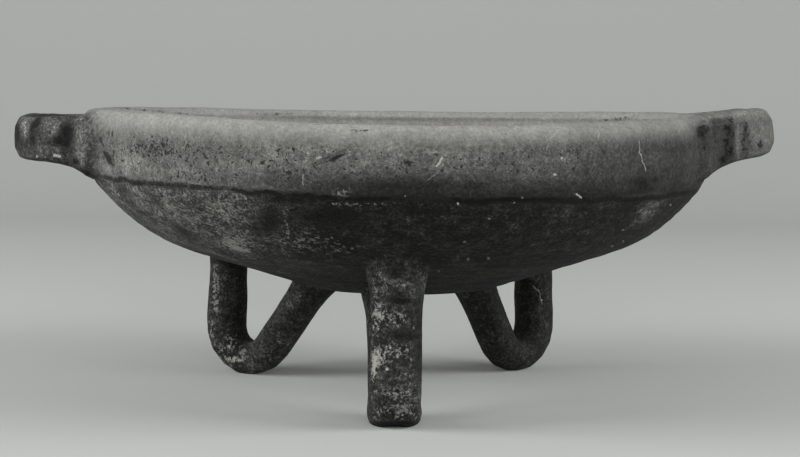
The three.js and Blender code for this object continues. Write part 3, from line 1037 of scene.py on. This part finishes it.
def firedClay():
    board = NodeBoard("firedClay")
    surface = board.add("ShaderNodeAttribute", attribute_name="surfaceMap", attribute_type="GEOMETRY")
    parts = board.add("ShaderNodeSeparateColor")
    board.connect(parts.inputs[0], surface.outputs["Color"])
    tone, crust, pits = parts.outputs
    stainAndShade = surface.outputs["Alpha"]

    plane = board.add("ShaderNodeAttribute", attribute_name="frontPlane", attribute_type="GEOMETRY")
    split = board.add("ShaderNodeSeparateXYZ")
    board.connect(split.inputs[0], plane.outputs["Vector"])
    uneven = split.outputs[2]

    noises = {name: board.noise(*values) for name, values in grains.items()}

    # Uneven lightness: the map's tone, times a mottle of every size.
    swing = board.maths("MULTIPLY", board.swings(noises, "lightness"), uneven)
    streaked = board.between(uneven, *limits["streaks"])
    streaks = board.maths("MULTIPLY", board.swings(noises, "streaks"), streaked)
    times = board.maths("EXPONENT", board.maths("ADD", swing, streaks))
    lightness = board.maths("MULTIPLY", tone, times)

    # Crust that clings in broken patches, palest in its grains.
    flaked = board.between(board.maths("ADD", board.swings(noises, "crust"), crust), *limits["crust"])
    crustShare = board.maths("MULTIPLY", flaked, board.between(crust, *limits["crustStart"]))
    palest = board.maths("ADD", board.swings(noises, "paleCrust"), crust)
    palest = board.between(palest, *limits["paleCrust"])
    crustColour = board.mixed(palest, clay["crust"], clay["paleCrust"])

    # Stains, dirt and painted shade with ragged edges, over the crust.
    raggedDark = board.maths("ADD", board.swings(noises, "stainAndShade"), stainAndShade)
    raggedDark = board.between(raggedDark, *limits["stainAndShade"])
    stainedAndShaded = board.maths("MULTIPLY", raggedDark, board.between(stainAndShade, *limits["stainAndShadeStart"]))
    stainedAndShaded = board.maths("MULTIPLY", stainedAndShaded, clay["stainAndShadeDepth"])
    undarkened = board.maths("SUBTRACT", 1.0, stainedAndShaded)

    lightness = board.maths("MINIMUM", board.maths("MULTIPLY", lightness, undarkened), clay["palest"])
    grey = board.add("ShaderNodeCombineColor")
    for socket, tint in zip(grey.inputs, clay["tint"]):
        board.connect(socket, board.maths("MULTIPLY", lightness, tint))
    crustShare = board.maths("MULTIPLY", crustShare, undarkened)
    colour = board.mixed(crustShare, grey.outputs[0], crustColour)

    # Pits: small dark holes, the more the higher the map's share of them.
    without, fall = clay["pitEdges"]
    edge = board.maths("MULTIPLY_ADD", pits, fall, without)
    holes = 0.0
    for name in ("speck", "grain"):
        over = board.maths("SUBTRACT", noises[name], edge)
        holes = board.maths("MAXIMUM", board.between(over, *limits["pit"]), holes)
    holes = board.maths("MULTIPLY", holes, board.between(pits, *limits["pitStart"]))
    colour = board.mixed(board.maths("MULTIPLY", holes, clay["pitDepth"]), colour, clay["pit"])

    # Cuts that show dark, and scratches and flecks that laid pale clay bare.
    flat = board.vectors("MULTIPLY", plane.outputs["Vector"], (1, 1, 0))
    shiver = board.noise(*shiverGrain, output="Color")
    shiver = board.vectors("SUBTRACT", shiver, (0.5, 0.5, 0.5))
    reach = (clay["shiver"], clay["shiver"], 0)
    flat = board.vectors("ADD", flat, board.vectors("MULTIPLY", shiver, reach))
    colour = board.mixed(markShare(board, flat, cuts), colour, clay["pit"])
    bared = board.maths("MAXIMUM", markShare(board, flat, scratches), fleckShare(board, flat))
    colour = board.mixed(bared, colour, clay["scratch"])

    # Fine roughness: crust stands up a little, and pits are sunk.
    height = board.swings(noises, "height")
    height = board.maths("MULTIPLY_ADD", crustShare, clay["crustRise"], height)
    height = board.maths("MULTIPLY_ADD", holes, -clay["pitSink"], height)
    normal = board.bump(height, *clay["fineBump"])
    normal = board.bump(noises["patch"], *clay["broadBump"], normal)

    board.connect(board.shader.inputs["Base Color"], colour)
    board.connect(board.shader.inputs["Normal"], normal)
    board.shader.inputs["Roughness"].default_value = clay["roughness"]
    board.shader.inputs["Specular IOR Level"].default_value = clay["gloss"]
    return board.material


bowl.data.materials.append(firedClay())
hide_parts("tripod_bowl")
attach(bowl, "root")
print("vessel finished")
